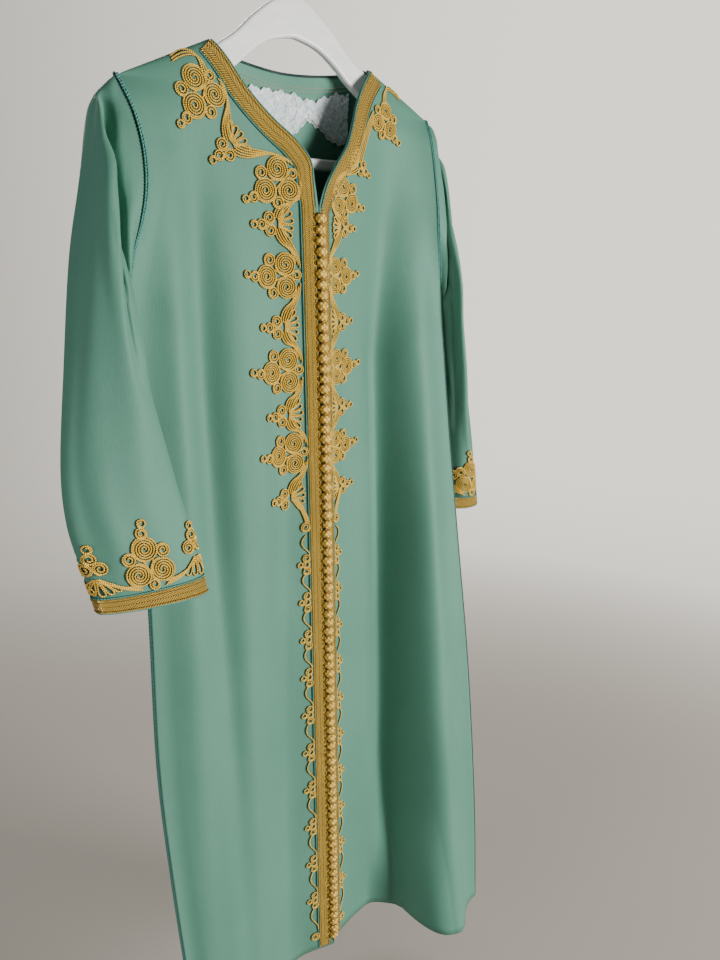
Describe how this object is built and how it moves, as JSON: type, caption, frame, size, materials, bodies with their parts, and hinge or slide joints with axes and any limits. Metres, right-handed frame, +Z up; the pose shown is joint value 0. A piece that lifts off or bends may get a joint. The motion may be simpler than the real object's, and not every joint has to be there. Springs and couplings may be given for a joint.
{
  "type": "moroccan kaftan on a hanger",
  "caption": "Child's full-length Moroccan kaftan hanging on a closed plastic hanger, with long sleeves, a front fastened by knotted buttons and gold corded trim.",
  "frame": {"origin": "inner top of the hanger's hook, where a rail holds it", "axes": "+Z up the garment from hem to hook, +X to the viewer's right seen from the front, which is the wearer's left; the front faces -Y"},
  "size_m": [0.5127, 0.1692, 1.0668],
  "materials": {
    "green_crepe": "matt satin crepe, sea green",
    "gold_braid": "gold silk braid and knotted buttons",
    "gold_cord": "couched gold cord",
    "teal_cord": "dark green sewing cord",
    "white_backing": "white woven stiffener",
    "white_plastic": "moulded, lightly glossy",
    "steel_wire": "plated wire"
  },
  "bodies": {
    "root": {"front_panel_right": "green_crepe", "front_panel_left": "green_crepe", "back_panel": "green_crepe", "sleeve_right": "green_crepe", "sleeve_left": "green_crepe", "braid_front_right": "gold_braid", "braid_front_left": "gold_braid", "braid_back_neck": "gold_braid", "embroidery_front_right": "gold_cord", "embroidery_front_left": "gold_cord", "embroidery_back_neck": "gold_cord", "embroidery_backing": "white_backing", "cuff_braid_right": "gold_braid", "cuff_braid_left": "gold_braid", "cuff_embroidery_right": "gold_cord", "cuff_embroidery_left": "gold_cord", "armhole_cord_right": "teal_cord", "armhole_cord_left": "teal_cord", "side_cord_right": "teal_cord", "side_cord_left": "teal_cord", "button_row": "gold_braid", "hanger_body": "white_plastic", "hanger_hook": "steel_wire"}
  },
  "joints": []
}
